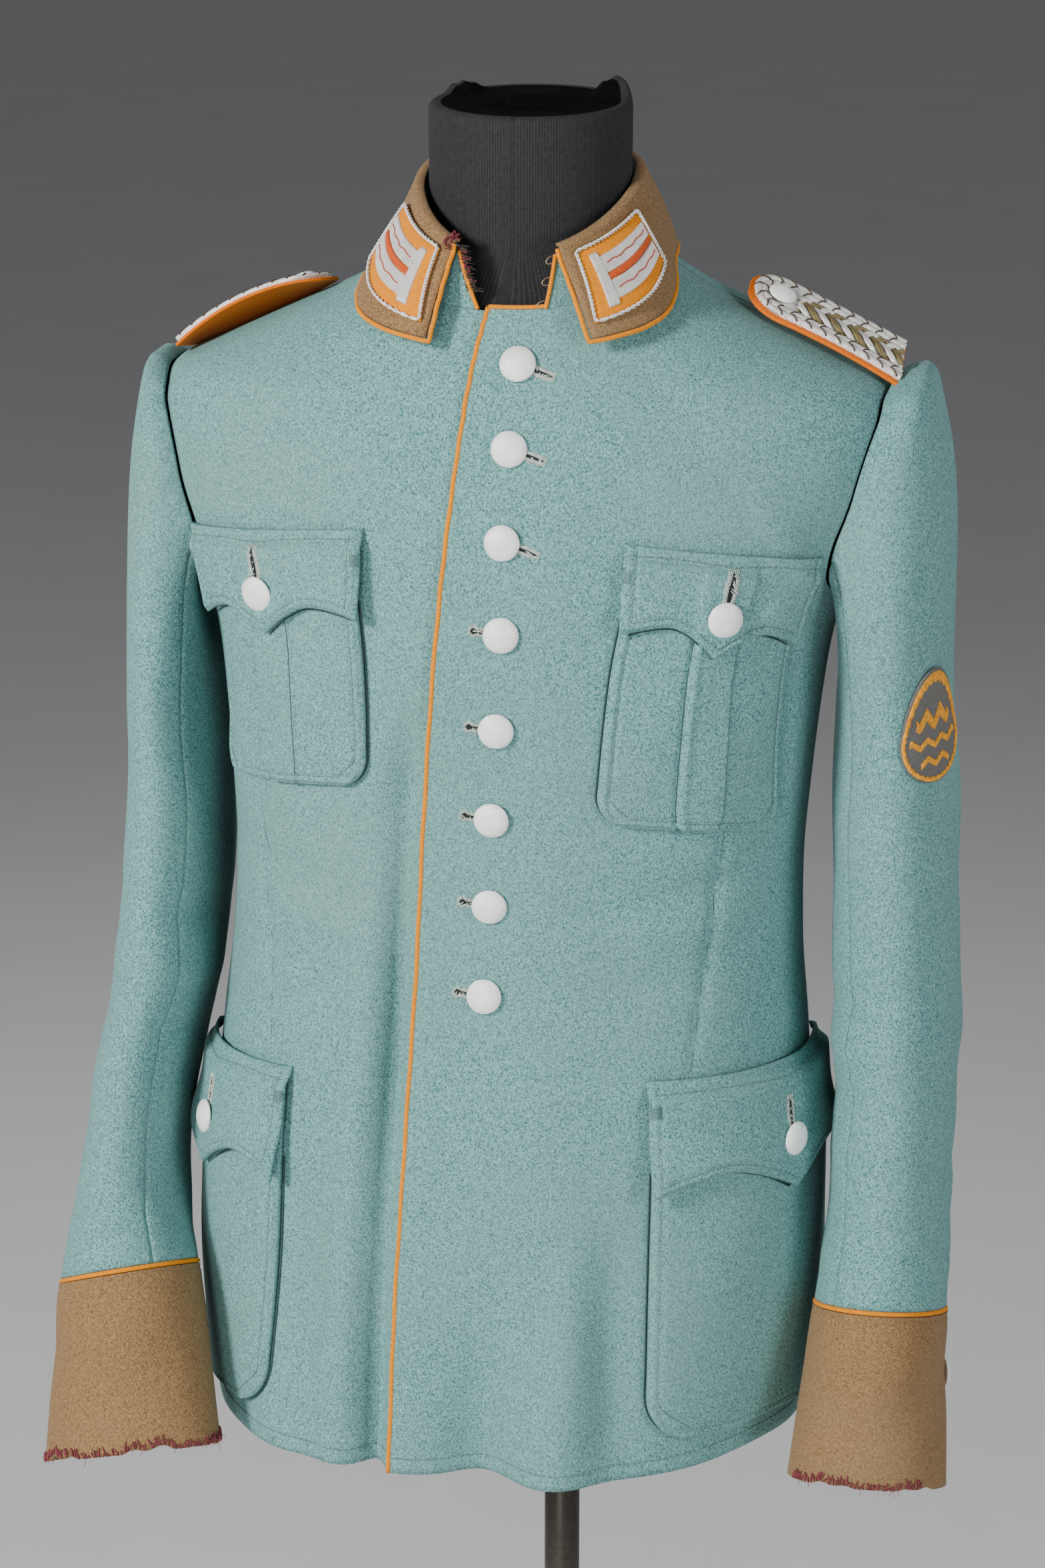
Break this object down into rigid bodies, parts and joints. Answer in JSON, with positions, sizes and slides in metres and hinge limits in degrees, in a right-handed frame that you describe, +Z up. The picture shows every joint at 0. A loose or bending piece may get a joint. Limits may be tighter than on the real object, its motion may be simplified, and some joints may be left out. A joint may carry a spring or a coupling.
{
  "type": "police uniform jacket on a limbless dress form with a pole stand",
  "caption": "Wool uniform jacket with patch pockets, shoulder boards, brown collar and cuffs and orange piping, worn by a limbless dress form on a pole and round base.",
  "frame": {"origin": "centre of the base's underside on the floor, on the pole's axis", "axes": "+Z up, the garment's front faces -Y, +X is the wearer's left"},
  "size_m": [0.5574, 0.3652, 1.508],
  "materials": {
    "wool": "napped grey-green melton wool",
    "brown_wool": "brown wool",
    "orange_felt": "orange felt",
    "silver_braid": "silver plaited cord",
    "aluminium": "pebbled matt",
    "black_jersey": "black ribbed jersey",
    "steel": "dark",
    "grey_felt": "grey felt with orange thread"
  },
  "bodies": {
    "root": {"front_left": "wool", "back_left": "wool", "sleeve_left_top": "wool", "sleeve_left_under": "wool", "cuff_left": "brown_wool", "piping_cuff_left": "orange_felt", "collar_patch_left": "orange_felt", "pocket_chest_left": "wool", "flap_chest_left": "wool", "pocket_skirt_left": "wool", "flap_skirt_left": "wool", "button_chest_left": "aluminium", "button_skirt_left": "aluminium", "button_cuff_left": "aluminium", "button_board_left": "aluminium", "board_left_underlay": "orange_felt", "board_left_braid": "silver_braid", "front_right": "wool", "back_right": "wool", "sleeve_right_top": "wool", "sleeve_right_under": "wool", "cuff_right": "brown_wool", "piping_cuff_right": "orange_felt", "collar_patch_right": "orange_felt", "pocket_chest_right": "wool", "flap_chest_right": "wool", "pocket_skirt_right": "wool", "flap_skirt_right": "wool", "button_chest_right": "aluminium", "button_skirt_right": "aluminium", "button_cuff_right": "aluminium", "button_board_right": "aluminium", "board_right_underlay": "orange_felt", "board_right_braid": "silver_braid", "collar_stand": "brown_wool", "collar_fall": "brown_wool", "piping_collar": "orange_felt", "piping_front": "orange_felt", "sleeve_patch": "grey_felt", "form": "black_jersey", "pole": "steel", "base": "steel", "button_front_1": "aluminium", "button_front_2": "aluminium", "button_front_3": "aluminium", "button_front_4": "aluminium", "button_front_5": "aluminium", "button_front_6": "aluminium", "button_front_7": "aluminium", "button_front_8": "aluminium"}
  },
  "joints": []
}
